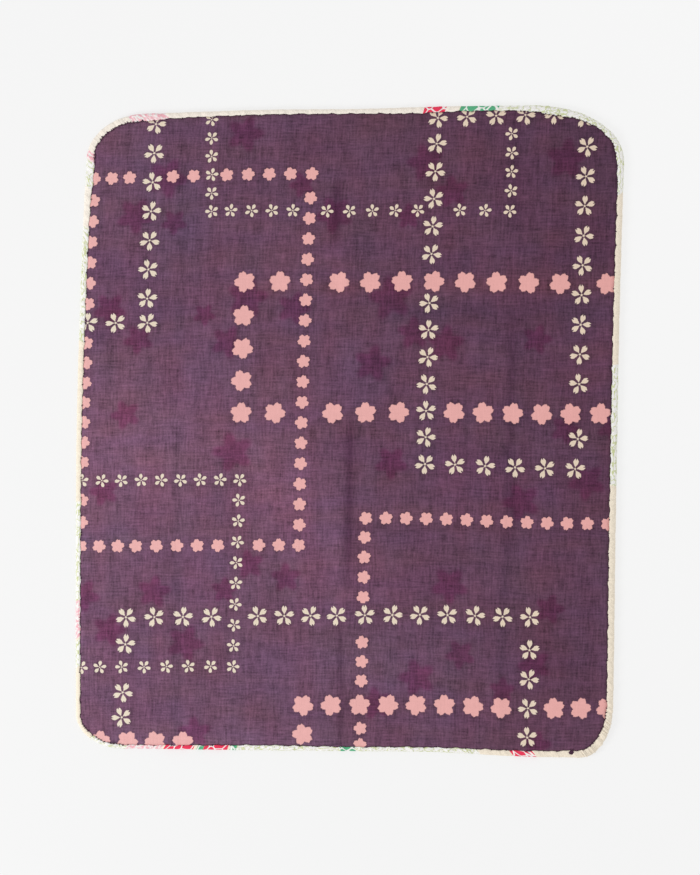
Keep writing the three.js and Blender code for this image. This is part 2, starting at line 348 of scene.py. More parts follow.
flat_quads, flat_edge = grid_faces(back_columns, back_rows)
back_faces = []
for start, is_top in zip(flat_starts, (False, True)):
    back_faces += (start + (flat_quads if is_top else flat_quads[:, ::-1])).tolist()
    # A fan of faces joins each edge step of the grid to its four steps of the rim
    edge = (start + flat_edge).tolist()
    ring = roll_starts[-1] if is_top else roll_starts[0]
    for step, here in enumerate(edge):
        ahead = edge[(step + 1) % len(edge)]
        outer = [ring + (step * RIM_CUTS + cut) % len(rim_u) for cut in range(RIM_CUTS + 1)]
        fan = [[here, outer[0], outer[1]], [here, outer[1], outer[2]], [here, outer[2], ahead]]
        fan += [[ahead, outer[2], outer[3]], [ahead, outer[3], outer[4]]]
        back_faces += [face if is_top else face[::-1] for face in fan]
for lower, upper in zip(roll_starts, roll_starts[1:]):
    here = np.arange(len(rim_u))
    ahead = (here + 1) % len(rim_u)
    back_faces += np.stack([lower + here, lower + ahead, upper + ahead, upper + here], -1).tolist()


def cloth_mesh(name, points, faces, cut):
    """An object with a mesh of these points and faces. Its UV map is the cut cloth, from 0 to 1."""
    mesh = bpy.data.meshes.new(name)
    mesh.from_pydata(points.tolist(), [], faces)
    corner_points = np.zeros(len(mesh.loops), int)
    mesh.loops.foreach_get("vertex_index", corner_points)
    shares = cut[corner_points] / (CUT_WIDTH, CUT_LENGTH) + 0.5
    mesh.uv_layers.new(name="cut_cloth").data.foreach_set("uv", shares.ravel())
    mesh.update()
    made = bpy.data.objects.new(name, mesh)
    bpy.context.scene.collection.objects.link(made)
    made.select_set(True)
    bpy.context.view_layer.objects.active = made
    bpy.ops.object.shade_smooth()
    bpy.ops.object.select_all(action="DESELECT")
    return made, corner_points


back_cut = np.concatenate(back_cut)
back_cloth, back_corner_points = cloth_mesh(
    "back_sheet", np.concatenate(back_points), back_faces, back_cut
)


def linear(code, alpha=1.0):
    """An sRGB hex colour as linear red, green, blue and alpha."""
    channels = [int(code[at : at + 2], 16) / 255 for at in (1, 3, 5)]
    return (*[c / 12.92 if c <= 0.04045 else ((c + 0.055) / 1.055) ** 2.4 for c in channels], alpha)


def node(tree, kind, inputs, **settings):
    """Adds a node with its settings, and gives back its outputs. An input is a value or the output
    that feeds it."""
    made = tree.nodes.new("ShaderNode" + kind)
    for name, value in settings.items():
        setattr(made, name, value)
    for socket, value in inputs.items():
        if isinstance(value, bpy.types.NodeSocket):
            tree.links.new(value, made.inputs[socket])
        else:
            made.inputs[socket].default_value = value
    return made.outputs


# The back's own blossoms: middle, in cut millimetres, and radius. They face the table, and they
# show through the thin front cloth as soft darker marks.
BACK_BLOSSOMS = [
    (-60, 161, 10), (-101, 138, 11), (-117, 118, 10), (-96, 114, 7), (-10, 117, 10), (-28, 133, 7),
    (38, 144, 10), (53, 128, 9), (30, 115, 7), (114, 145, 11), (-55, 72, 11), (-30, 66, 9),
    (-65, 48, 9), (-78, 63, 6), (-129, 67, 9), (-113, 50, 8), (-119, 9, 8), (-61, -12, 11),
    (22, 71, 12), (35, 52, 9), (52, 46, 10), (13, 36, 10), (101, 49, 8), (117, 1, 8),
    (142, 2, 8), (24, -18, 9), (129, -27, 10), (94, -38, 10), (-130, -33, 8), (-52, -73, 8),
    (-32, -80, 8), (-65, -87, 7), (-103, -88, 9), (-127, -109, 9), (-86, -116, 10),
    (-141, -90, 9), (56, -84, 10), (62, -121, 8), (102, -125, 9), (39, -134, 10), (17, -148, 9),
    (-81, -165, 9), (85, -139, 7), (104, -168, 8), (110, -95, 8),
]
RED_INK, GREEN_INK, LEAF_INK, PINK_INK = "#ea3c5c", "#5cb184", "#cdd3a2", "#f0b4bd"
WHITE_GROUND, LIT_PALE_CREAM, CREAM_GROUND = "#f3f1ee", "#f5ece0", "#f1e5d2"

# How the ink is laid on: not at all, in mottled patches, in outlines of leaves, in cells parted by
# thin lines of the ground, or as whole blossoms
BARE, MOTTLED, LINED, CELLS, BLOSSOM = 0.0, 0.25, 0.5, 0.75, 1.0

# What comes round the rim: the side, from and to along it in cut millimetres (the left and right
# sides are counted upwards), the ground's colour, the ink's colour and how it is laid on
RIM_PRINT = [
    # The paler cream along the top and the upper left is painted light, where the rim is most brightly
    # lit
    ("top", -146, 56, LIT_PALE_CREAM, LEAF_INK, BARE),
    ("left", 114, 175, LIT_PALE_CREAM, LEAF_INK, BARE),
    ("top", -124, -103.5, WHITE_GROUND, PINK_INK, MOTTLED),
    ("top", 36.5, 48.5, WHITE_GROUND, RED_INK, CELLS),
    ("top", 56.5, 77, WHITE_GROUND, GREEN_INK, CELLS),
    ("top", 77, 146, WHITE_GROUND, LEAF_INK, LINED),
    ("right", 127, 175, WHITE_GROUND, LEAF_INK, LINED),
    ("right", -30, 35.5, WHITE_GROUND, LEAF_INK, LINED),
    ("bottom", 91.5, 104, WHITE_GROUND, RED_INK, CELLS),
    ("bottom", 6.5, 73.5, WHITE_GROUND, LEAF_INK, LINED),
    ("bottom", -2, 6.5, WHITE_GROUND, GREEN_INK, CELLS),
    ("bottom", -58.5, -2, WHITE_GROUND, LEAF_INK, LINED),
    ("bottom", -62.5, -58.5, WHITE_GROUND, GREEN_INK, CELLS),
    ("bottom", -76.5, -63.5, WHITE_GROUND, RED_INK, CELLS),
    ("bottom", -80.5, -76.5, WHITE_GROUND, GREEN_INK, CELLS),
    ("bottom", -98, -82, WHITE_GROUND, RED_INK, CELLS),
    ("bottom", -119, -99.5, WHITE_GROUND, PINK_INK, MOTTLED),
    ("bottom", -146, -119, WHITE_GROUND, LEAF_INK, LINED),
    ("left", -130, -115, WHITE_GROUND, LEAF_INK, LINED),
    ("left", -114, -93, WHITE_GROUND, PINK_INK, MOTTLED),
    ("left", -93, -38, WHITE_GROUND, LEAF_INK, LINED),
    ("left", 50.5, 114, WHITE_GROUND, LEAF_INK, LINED),
    ("left", 136, 151, WHITE_GROUND, LEAF_INK, LINED),
    ("left", 151, 155.5, WHITE_GROUND, PINK_INK, MOTTLED),
]


def face_corners(mesh):
    """For each corner of each face: the face it belongs to."""
    counts = np.zeros(len(mesh.polygons), int)
    mesh.polygons.foreach_get("loop_total", counts)
    return np.repeat(np.arange(len(counts)), counts)


def add_values(mesh, name, kind, domain, values):
    """Gives a mesh named values, one for each of its points or face corners."""
    field = {"FLOAT": "value", "FLOAT_VECTOR": "vector", "FLOAT_COLOR": "color"}[kind]
    attribute = mesh.attributes.new(name, kind, domain)
    attribute.data.foreach_set(field, np.asarray(values, np.float32).ravel())


def nearest_blossom(corner_faces, corner_cut, blossoms, reach, turn):
    """For each face corner, its place in the blossom nearest to its face, in blossom radii, and
    that blossom's number. Each blossom is turned further than the one before, and faces further
    than the reach, in radii, get a place far outside."""
    sizes = np.bincount(corner_faces)
    face_middles = [np.bincount(corner_faces, corner_cut[:, axis]) / sizes for axis in (0, 1)]
    middles = np.array([row[:2] for row in blossoms], float)
    radii = np.array([row[2] for row in blossoms], float)
    from_middles = np.stack(face_middles, -1)[:, None] - middles[None]
    away = np.linalg.norm(from_middles, axis=2) / radii
    number = away.argmin(1)[corner_faces]
    x, y = ((corner_cut - middles[number]) / radii[number, None]).T
    is_far = (away.min(1) > reach)[corner_faces]
    x[is_far] = FAR
    y[is_far] = FAR
    cos, sin = np.cos(number * turn), np.sin(number * turn)
    return x * cos + y * sin, y * cos - x * sin, number


FAR = 9.0
BACK_BLOSSOM_REACH, BACK_BLOSSOM_TURN = 1.5, 2.4
mesh = back_cloth.data
corner_faces = face_corners(mesh)
corner_cut = back_cut[back_corner_points]
x, y, blossom_number = nearest_blossom(
    corner_faces, corner_cut, BACK_BLOSSOMS, BACK_BLOSSOM_REACH, BACK_BLOSSOM_TURN
)
add_values(mesh, "back_blossom", "FLOAT_VECTOR", "CORNER", np.stack([x, y, 0 * x], -1))

# Ground, ink and how it is laid on, face by face. The flat's faces come first in the mesh, and
# the rim's faces follow ring by ring.
rim_count = len(rim_u)
rim_faces = (len(ROLL_IN) - 1) * rim_count
flat_faces = len(mesh.polygons) - rim_faces
ground = np.tile(linear(CREAM_GROUND, BARE), (len(mesh.polygons), 1))
inks = [linear(ink, BLOSSOM) for ink in (RED_INK, PINK_INK, GREEN_INK)]
face_blossom = np.zeros(len(mesh.polygons), int)
face_blossom[corner_faces] = blossom_number
ink = np.array(inks)[face_blossom % len(inks)]
ink[flat_faces:] = linear(CREAM_GROUND, BARE)
is_side = [rim_up == 0, rim_across == 1, rim_up == 1]
rim_side = np.select(is_side, ["bottom", "right", "top"], "left")
rim_along = np.where((rim_side == "bottom") | (rim_side == "top"), rim_u, rim_v)
for side, start, end, ground_code, ink_code, laid_on in RIM_PRINT:
    steps = np.flatnonzero((rim_side == side) & (rim_along >= start) & (rim_along < end))
    faces = (flat_faces + np.arange(len(ROLL_IN) - 1)[:, None] * rim_count + steps).ravel()
    ground[faces] = linear(ground_code)
    ink[faces] = linear(ink_code, laid_on)
add_values(mesh, "ground", "FLOAT_COLOR", "CORNER", ground[corner_faces])
add_values(mesh, "ink", "FLOAT_COLOR", "CORNER", ink[corner_faces])

# The rim's own coordinates in millimetres: how far round the cloth, and how far over the roll
ROLL_GIRTH = 6.5
point_way = np.zeros((len(mesh.vertices), 3))
for ring, ring_start in enumerate(roll_starts):
    here = slice(ring_start, ring_start + rim_count)
    point_way[here, 0] = round_way
    point_way[here, 1] = ROLL_GIRTH * ring / (len(ROLL_IN) - 1)
corner_way = point_way[back_corner_points]
total_way = round_way[-1] + edge_step[-1]
face_way = np.zeros(len(mesh.polygons))
np.maximum.at(face_way, corner_faces, corner_way[:, 0])
wraps = (face_way[corner_faces] - corner_way[:, 0]) > total_way / 2
corner_way[wraps, 0] += total_way
add_values(mesh, "round_rim", "FLOAT_VECTOR", "CORNER", corner_way)


def matt_material(name, roughness, specular):
    """A new material, its node tree and its shader."""
    made = bpy.data.materials.new(name)
    made.use_nodes = True
    shader = made.node_tree.nodes["Principled BSDF"]
    shader.inputs["Roughness"].default_value = roughness
    shader.inputs["Specular IOR Level"].default_value = specular
    return made, made.node_tree, shader


def cut_places(tree):
    """Places on the cut cloth, as shares of its size and in millimetres."""
    shares = node(tree, "UVMap", {}, uv_map="cut_cloth")[0]
    cut_size = (CUT_WIDTH, CUT_LENGTH, 0)
    return shares, node(tree, "VectorMath", {0: shares, 1: cut_size}, operation="MULTIPLY")[0]


def uneven(tree, place, size, detail):
    """A value that changes softly at random over a size in millimetres, given for each axis."""
    places = node(tree, "VectorMath", {0: place, 1: size}, operation="DIVIDE")[0]
    return node(tree, "TexNoise", {"Vector": places, "Scale": 1.0, "Detail": detail})[0]


def lobed_reach(tree, place, lobe_depth):
    """How far out in a blossom a place is, in blossom radii, where five lobes reach further."""
    xyz = node(tree, "SeparateXYZ", {0: place})
    angle = node(tree, "Math", {0: xyz[1], 1: xyz[0]}, operation="ARCTAN2")[0]
    turn = node(tree, "Math", {0: angle, 1: 5}, operation="MULTIPLY")[0]
    lobes = node(tree, "Math", {0: turn}, operation="COSINE")[0]
    radius = node(tree, "VectorMath", {0: place}, operation="LENGTH")["Value"]
    return node(tree, "Math", {0: lobes, 1: -lobe_depth, 2: radius}, operation="MULTIPLY_ADD")[0]


# Printed cream cotton, plain weave: matt, soft, with a faint rib of yarns about 0.5 mm apart,
# drawn at 1 mm, because the real pitch is finer than the picture shows
back_cotton, tree, shader = matt_material("printed cream cotton", 0.9, 0.2)
DRAWN_YARN = 1.0
LEAF_SIZE = (4.0, 1.5, 1.0)
CELL_SIZE, CELL_LINE, CELL_LINE_FADED = 4.6, 0.04, 0.08
BACK_YARN_BUMP = 0.6
cut_mm = cut_places(tree)[1]
way = node(tree, "Attribute", {}, attribute_name="round_rim")["Vector"]
ground_color = node(tree, "Attribute", {}, attribute_name="ground")["Color"]
ink_outputs = node(tree, "Attribute", {}, attribute_name="ink")
patches = node(tree, "TexNoise", {"Vector": way, "Scale": 0.6, "Detail": 2.5})[0]
is_patch = node(tree, "MapRange", {"Value": patches, "From Min": 0.42, "From Max": 0.56})[0]
leaves = uneven(tree, way, LEAF_SIZE, 1)
from_line = node(tree, "Math", {0: leaves, 1: 0.5}, operation="SUBTRACT")[0]
from_line = node(tree, "Math", {0: from_line}, operation="ABSOLUTE")[0]
is_line = node(tree, "MapRange", {"Value": from_line, "From Min": 0.055, "From Max": 0.015})[0]
cells = {"Vector": way, "Scale": 1 / CELL_SIZE}
cell_edge = node(tree, "TexVoronoi", cells, feature="DISTANCE_TO_EDGE")["Distance"]
cell_line = {"Value": cell_edge, "From Min": CELL_LINE, "From Max": CELL_LINE_FADED}
is_cell = node(tree, "MapRange", cell_line)[0]
petals = node(tree, "Attribute", {}, attribute_name="back_blossom")["Vector"]
petal_reach = lobed_reach(tree, petals, 0.14)
is_blossom = node(tree, "MapRange", {"Value": petal_reach, "From Min": 0.86, "From Max": 0.82})[0]
ways_laid = [(MOTTLED, is_patch), (LINED, is_line), (CELLS, is_cell), (BLOSSOM, is_blossom)]
inked = 0.0
for laid_on, mask in ways_laid:
    is_this = node(tree, "Math", {0: ink_outputs["Alpha"], 1: laid_on, 2: 0.1}, operation="COMPARE")[0]
    inked = node(tree, "Math", {0: is_this, 1: mask, 2: inked}, operation="MULTIPLY_ADD")[0]
print_mix = {"Factor": inked, 6: ground_color, 7: ink_outputs["Color"]}
printed = node(tree, "Mix", print_mix, data_type="RGBA")[2]
yarns = uneven(tree, cut_mm, (DRAWN_YARN,) * 3, 2)
yarn_range = {"Value": yarns, "From Min": 0.25, "From Max": 0.75, "To Min": 0.88, "To Max": 1.06}
yarn_tone = node(tree, "MapRange", yarn_range)[0]
toned = node(tree, "VectorMath", {0: printed, "Scale": yarn_tone}, operation="SCALE")[0]
tree.links.new(toned, shader.inputs["Base Color"])
bump = node(tree, "Bump", {"Height": yarns, "Strength": 0.6, "Distance": BACK_YARN_BUMP * MM})[0]
tree.links.new(bump, shader.inputs["Normal"])
back_cloth.data.materials.append(back_cotton)

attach(back_cloth, "root")
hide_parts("back_cloth")


# Front cloth
# Thinner plain-weave cotton, dyed purple round blossoms that a paste kept clear of the dye and
# partly tinted pink. It lies on the back cloth, and its edge is sewn down inside the rim.

FRONT_THICKNESS = 1.0
PLY_GAP = 0.34
FRONT_STEP = 2.0
FRONT_CORNER_STEPS = 20
SEAM_CLEARANCE = 0.1
SEAM_DIP = 0.12
SEAM_DIP_WIDTH = 0.7

# Sharp lines in the middle of the folding creases, and small stray creases of the wear: from and
# to in cut millimetres, rise and half width
FOLD_LINE_SHARE = 0.8
FOLD_LINE_WIDTH = 1.8
STRAY_CREASES = [
    (-54, 57, -3, 48, 0.16, 1.2),
    (-45, 49, -10, 57, 0.12, 1.1),
    (8, 48, 20, 17, -0.2, 1.6),
    (-88, 172, -92, 140, 0.14, 1.5),
    (-4, 130, -6, 95, -0.16, 1.3),
    (86, 48, 82, 30, -0.2, 1.3),
    (120, 96, 141, 90, 0.14, 1.4),
    (96, -98, 130, -104, 0.12, 1.4),
    (-140, -60, -118, -52, 0.12, 1.6),
]
STRAY_CREASE_ENDS = (0.1, 0.25)

# Where the purple is darker, lighter or redder, in streaks along the folds and in broad patches: from
# and to in cut millimetres, half width, and what it does to the red, green and blue. The dark streaks
# along the folds are painted shade of the creases, partly deeper dye, and the broad patches are partly
# painted light and shade of the cloth's gentle tilts, partly uneven dye.
FOLD_SHADE_AND_DYE = [
    (-9, 134, -9, 102, 2.6, (0.62, 0.54, 0.62)),
    (1.5, 4, 1.5, -76, 2.2, (0.6, 0.52, 0.6)),
    (-3, -104, -2, -172, 2.0, (0.74, 0.7, 0.74)),
    (86, 172, 87, 110, 3.0, (0.82, 0.78, 0.82)),
    (88, 52, 87, -60, 3.0, (0.78, 0.72, 0.78)),
    (86, -60, 85, -115, 2.4, (0.88, 0.9, 0.92)),
    (84, -115, 85, -172, 1.9, (0.8, 0.84, 0.84)),
    (-91, 170, -91, 42, 2.6, (0.9, 0.92, 0.92)),
    (-91, -16, -91, -172, 2.4, (0.9, 0.92, 0.92)),
    (4, 65, 145, 62, 6.0, (0.86, 0.9, 0.92)),
    (-110, -29, -12, -29, 1.8, (0.9, 0.92, 0.88)),
    (4, -53, 84, -53, 2.4, (0.9, 0.88, 0.86)),
    (12, 48, 24, 15, 1.8, (0.8, 0.84, 0.84)),
    (0, 168, 40, 168, 8.0, (0.92, 0.92, 0.86)),
    (0, 45, 0, -20, 3.5, (1.08, 1.1, 1.1)),
    (-60, 77, 145, 77, 4.5, (1.13, 1.04, 0.98)),
    (0, -45, 84, -46, 4.5, (1.13, 1.08, 1.02)),
    (-140, -5, -20, -20, 42.0, (1.24, 1.23, 1.18)),
    (-30, -20, -5, -100, 24.0, (1.2, 1.17, 1.18)),
    (-125, 130, -80, 120, 30.0, (0.92, 1.0, 1.02)),
    (-60, -125, 60, -130, 16.0, (1.06, 1.13, 1.12)),
    (-135, 100, -120, 50, 26.0, (0.9, 0.88, 0.94)),
    (100, -100, 125, -150, 24.0, (0.93, 0.9, 0.91)),
    (20, 125, 120, 95, 28.0, (1.0, 0.97, 0.98)),
    (110, 165, 135, 125, 18.0, (0.92, 0.98, 0.98)),
    (139, 90, 139, 20, 10.0, (1.14, 1.12, 1.1)),
    (40, -28, 120, -32, 14.0, (1.06, 1.0, 1.07)),
    (-145, -60, -95, -60, 5.0, (0.95, 1.05, 1.06)),
    (-144, 60, -144, -150, 7.0, (1.1, 1.13, 1.12)),
    (-125, -171, -8, -171, 9.0, (1.14, 1.24, 1.2)),
    (143, -40, 143, -150, 7.0, (1.04, 1.1, 1.07)),
]
FOLD_SHADE_AND_DYE_ENDS = (0.15, 0.15)

# The puckers by the seam: their length, rise and how far in they fade, how far and over what
# length they wander, and how much of their rise is steady and over what length the rest comes
# and goes
PUCKER_LENGTH, PUCKER_RISE, PUCKER_IN = 4.6, 0.11, 7.0
PUCKER_WANDER, PUCKER_WANDER_LENGTH = 0.8, 31.0
PUCKER_STEADY_SHARE, PUCKER_CHANGE_LENGTH = 0.6, 19.0

# The grid has extra lines beside and on each folding crease
CREASE_STOPS = (-3, -1, 0, 1, 3)
up_stops = [c["at"] + side for c in CREASES if c["runs"] == "up" for side in CREASE_STOPS]
across_stops = [c["at"] + side for c in CREASES if c["runs"] == "across" for side in CREASE_STOPS]
front_columns = grid_lines(CUT_WIDTH, ACROSS_REACHES, FRONT_STEP, FRONT_CORNER_STEPS, up_stops)
front_rows = grid_lines(CUT_LENGTH, UP_REACHES, FRONT_STEP, FRONT_CORNER_STEPS, across_stops)
across_grid, up_grid = np.meshgrid(front_columns, front_rows)
front_u, front_v = cut_point(across_grid, up_grid, 1, SEAM_CLEARANCE)

# How far each point is from the seam, in millimetres
seam_points = np.stack(cut_point(rim_across, rim_up, 1, SEAM_CLEARANCE), -1)
seam_tree = KDTree(len(seam_points))
for place, (u, v) in enumerate(seam_points.tolist()):
    seam_tree.insert((u, v, 0), place)
seam_tree.balance()
front_places = zip(front_u.ravel().tolist(), front_v.ravel().tolist())
to_seam = np.array([seam_tree.find((u, v, 0))[2] for u, v in front_places]).reshape(front_u.shape)
to_seam[[0, -1]] = 0
to_seam[:, [0, -1]] = 0


def along_line(u, v, ends, width, outside, inside):
    """How strongly a straight crease or streak acts on points, from 0 to 1. It fades away from its
    line over its half width, and at its ends from a share outside them to a share inside."""
    from_u, from_v, to_u, to_v = ends
    run_u, run_v = to_u - from_u, to_v - from_v
    share = ((u - from_u) * run_u + (v - from_v) * run_v) / (run_u**2 + run_v**2)
    away = np.hypot(u - from_u - share * run_u, v - from_v - share * run_v)
    ended = smooth_between(share, 1 + outside, 1 - inside)
    return smooth_between(share, -outside, inside) * ended * np.exp(-((away / width) ** 2))


def fine_relief(u, v, across, up, to_seam):
    """The front's own relief on top of the broad one: sharp fold lines, stray creases, and the
    puckers that the seam draws into its edge."""
    height = 0
    for crease in CREASES:
        away = (u if crease["runs"] == "up" else v) - crease["at"]
        line = np.exp(-((away / FOLD_LINE_WIDTH) ** 2))
        height = height + FOLD_LINE_SHARE * crease["rise"] * crease_strength(crease, across, up) * line
    for *ends, rise, width in STRAY_CREASES:
        height = height + rise * along_line(u, v, ends, width, *STRAY_CREASE_ENDS)
    height = height * smooth_between(to_seam, 0, 4)
    along = np.where(CUT_WIDTH / 2 - abs(u) < CUT_LENGTH / 2 - abs(v), v, u)
    wander = PUCKER_WANDER * np.sin(2 * math.pi * along / PUCKER_WANDER_LENGTH)
    pucker = np.sin(2 * math.pi * along / PUCKER_LENGTH + wander)
    change = np.sin(2 * math.pi * along / PUCKER_CHANGE_LENGTH + 1.0)
    pucker = pucker * (PUCKER_STEADY_SHARE + (1 - PUCKER_STEADY_SHARE) * change)
    return height + PUCKER_RISE * pucker * np.exp(-to_seam / PUCKER_IN) * smooth_between(to_seam, 0, 2)


seat = BACK_THICKNESS + PLY_GAP + relief(front_u, front_v)
top_height = seat + FRONT_THICKNESS + fine_relief(front_u, front_v, across_grid, up_grid, to_seam)
top_height = top_height - SEAM_DIP * np.exp(-((to_seam / SEAM_DIP_WIDTH) ** 2))
top_points = placed(front_u, front_v, top_height)
under_points = placed(front_u, front_v, seat)

top_faces, edge = grid_faces(front_columns, front_rows)
under_faces = top_faces[:, ::-1] + front_u.size
ahead = np.roll(edge, -1)
wall_faces = np.stack([edge + front_u.size, ahead + front_u.size, ahead, edge], -1)
front_cut = np.stack([front_u, front_v], -1).reshape(-1, 2)
front_cut = np.concatenate([front_cut, front_cut])
front_cloth, front_corner_points = cloth_mesh(
    "front_sheet",
    np.concatenate([top_points, under_points]),
    np.concatenate([top_faces, under_faces, wall_faces]).tolist(),
    front_cut,
)

# The blossoms in rows, as the stencil lays them: the kind, the first blossom's middle and the
# last one's in cut millimetres, and how many there are
CREAM_LARGE, CREAM_SMALL, PINK_LARGE, PINK_SMALL = 0.1, 0.4, 1.1, 1.4
BLOSSOM_RADIUS = {CREAM_LARGE: 5.4, CREAM_SMALL: 3.5, PINK_LARGE: 5.7, PINK_SMALL: 3.6}
BLOSSOM_ROWS = [
    (CREAM_LARGE, -108.5, 168, -109, 72.5, 7),
    (CREAM_LARGE, -108.5, 59.2, -108.5, 59.2, 1),
    (CREAM_LARGE, -125.5, 59.5, -140.5, 59.8, 2),
    (CREAM_LARGE, 43.6, 167.8, 106.5, 169.3, 5),
    (CREAM_LARGE, 122.5, 167.2, 122.5, 167.2, 1),
    (CREAM_LARGE, 43.5, 153.9, 43, 94.5, 5),
    (CREAM_LARGE, 42.7, 68, 42.2, 9.8, 5),
    (CREAM_LARGE, 42.2, -4.3, 42.1, -18.8, 2),
    (CREAM_LARGE, 58.2, -19, 122.6, -20.2, 5),
    (CREAM_LARGE, 124.7, 151.6, 124, 25.1, 9),
    (CREAM_LARGE, 123.8, -4.2, 123.8, -4.2, 1),
    (CREAM_LARGE, -118, -102, -72, -101.6, 4),
    (CREAM_LARGE, -47, -101, -4.5, -100.6, 4),
    (CREAM_LARGE, 10.6, -100.4, 99.5, -99.5, 7),
    (CREAM_LARGE, -118.3, -116.8, -118.3, -116.8, 1),
    (CREAM_LARGE, -119.7, -143.2, -120.3, -156.9, 2),
    (CREAM_LARGE, 99.4, -117.1, 98.8, -163.7, 4),
    (CREAM_SMALL, -78.5, 169.4, -76, 119.3, 6),
    (CREAM_SMALL, -65.8, 119.5, -32.4, 119, 4),
    (CREAM_SMALL, -14.1, 118.8, 34.9, 118.2, 5),
    (CREAM_SMALL, 57.5, 117.9, 84.4, 117.6, 3),
    (CREAM_SMALL, 84.7, 128.3, 83.9, 158.9, 4),
    (CREAM_SMALL, -141.8, -27, -57.2, -27, 9),
    (CREAM_SMALL, -57.5, -38.1, -60.4, -128.6, 9),
    (CREAM_SMALL, -72.3, -128.5, -132.1, -129.5, 6),
    (CREAM_SMALL, -142, -129.6, -142, -129.6, 1),
    (PINK_LARGE, -56.8, 80.6, -38, 80.4, 2),
    (PINK_LARGE, -6.3, 80.2, 112.6, 78.8, 8),
    (PINK_LARGE, 137.8, 78.4, 137.8, 78.4, 1),
    (PINK_LARGE, -57, 62.1, -57, 9.3, 4),
    (PINK_LARGE, -38.9, 9.3, -38.9, 9.3, 1),
    (PINK_LARGE, -7.8, 9.3, 27.4, 9.2, 3),
    (PINK_LARGE, 57.2, 9.2, 135.5, 9.1, 6),
    (PINK_LARGE, -22.5, -149.3, 84.5, -148.3, 8),
    (PINK_LARGE, 113.1, -148, 141.5, -147.6, 3),
    (PINK_LARGE, -22.5, -165.1, -22.5, -165.1, 1),
    (PINK_LARGE, -132.1, -170, -87.2, -170, 4),
    (PINK_SMALL, -140.3, 139, -121.2, 139, 3),
    (PINK_SMALL, -98, 139, -86.7, 139, 2),
    (PINK_SMALL, -68.9, 139, -23.1, 139, 5),
    (PINK_SMALL, -23.2, 125.9, -25.2, -62.5, 18),
    (PINK_SMALL, -35.9, -62.5, -46.7, -62.5, 2),
    (PINK_SMALL, -68.7, -62.7, -112.8, -63, 5),
    (PINK_SMALL, -122.5, -63, -142.5, -63, 3),
    (PINK_SMALL, -140, 126.9, -140.5, 70.2, 6),
    (PINK_SMALL, -140.8, 48.7, -141.5, -16.8, 7),
    (PINK_SMALL, -141.8, -37.7, -142, -49.8, 2),
    (PINK_SMALL, 10.7, -47.8, 140.5, -49.5, 13),
    (PINK_SMALL, 10.2, -58.1, 9.6, -90.6, 4),
    (PINK_SMALL, 9.2, -115, 8.9, -135.8, 3),
    (PINK_SMALL, 8.6, -161.6, 8.5, -170.5, 2),
]
blossoms = []
for kind, from_u, from_v, to_u, to_v, count in BLOSSOM_ROWS:
    for share in np.linspace(0, 1, count):
        u, v = from_u + (to_u - from_u) * share, from_v + (to_v - from_v) * share
        blossoms.append((u, v, BLOSSOM_RADIUS[kind], kind))
blossom_kinds = np.array([row[3] for row in blossoms])
BLOSSOM_REACH, BLOSSOM_TURN = 1.7, 0.87
SHOWN_REACH = 1.8

mesh = front_cloth.data
corner_faces = face_corners(mesh)
corner_cut = front_cut[front_corner_points]
x, y, number = nearest_blossom(corner_faces, corner_cut, blossoms, BLOSSOM_REACH, BLOSSOM_TURN)
add_values(mesh, "blossom", "FLOAT_VECTOR", "CORNER", np.stack([x, y, blossom_kinds[number]], -1))
x, y, number = nearest_blossom(
    corner_faces, corner_cut, BACK_BLOSSOMS, SHOWN_REACH, BACK_BLOSSOM_TURN
)
add_values(mesh, "show_through", "FLOAT_VECTOR", "CORNER", np.stack([x, y, 0 * x], -1))
add_values(mesh, "to_seam", "FLOAT", "POINT", [to_seam, to_seam])
# Painted shade along the creases and painted light and shade in broad patches, partly uneven dye, as a
# tint for each point
fold_shade_and_dye = np.ones((len(front_cut), 4))
for *ends, width, tint in FOLD_SHADE_AND_DYE:
    strength = along_line(front_cut[:, 0], front_cut[:, 1], ends, width, *FOLD_SHADE_AND_DYE_ENDS)
    fold_shade_and_dye[:, :3] *= 1 + strength[:, None] * (np.array(tint) - 1)
add_values(mesh, "fold_shade_and_dye", "FLOAT_COLOR", "POINT", fold_shade_and_dye)

# Resist-dyed plain-weave cotton: matt, with uneven yarns about 0.5 mm apart that take the dye
# unevenly, so fine light and dark streaks run both ways. They are drawn about 1 mm wide, because
# a single yarn is finer than the picture shows.
front_cotton, tree, shader = matt_material("resist-dyed purple cotton", 0.92, 0.15)
PURPLE_LOW_LEFT, PURPLE_UP_RIGHT, SEAM_SHADE_PURPLE = "#704c66", "#56354b", "#4b3143"
GREYED, BROWNED, SHOWN = (0.93, 1.06, 1.05), (1.04, 1.03, 0.91), (0.89, 0.5, 0.74)
CREAM, CREAM_SHADE, PINK = "#e8dcc9", "#dcd3b8", "#e8b1af"
WARMER = (0.99, 0.89, 0.86)
STREAK_WIDTH, STREAK_LENGTH = 0.95, 8.0
SLUB_WIDTH, SLUB_LENGTH = 2.6, 20.0
BAND_WIDTH, BAND_LENGTH = 7.0, 60.0
RAGGED_SIZE = (0.625, 0.625, 1)
GREY_PATCH, BROWN_PATCH = (16.25, 37.5, 1), (43.75, 13.75, 1)
YARN_BUMP = 0.2
cut_share, cut_mm = cut_places(tree)

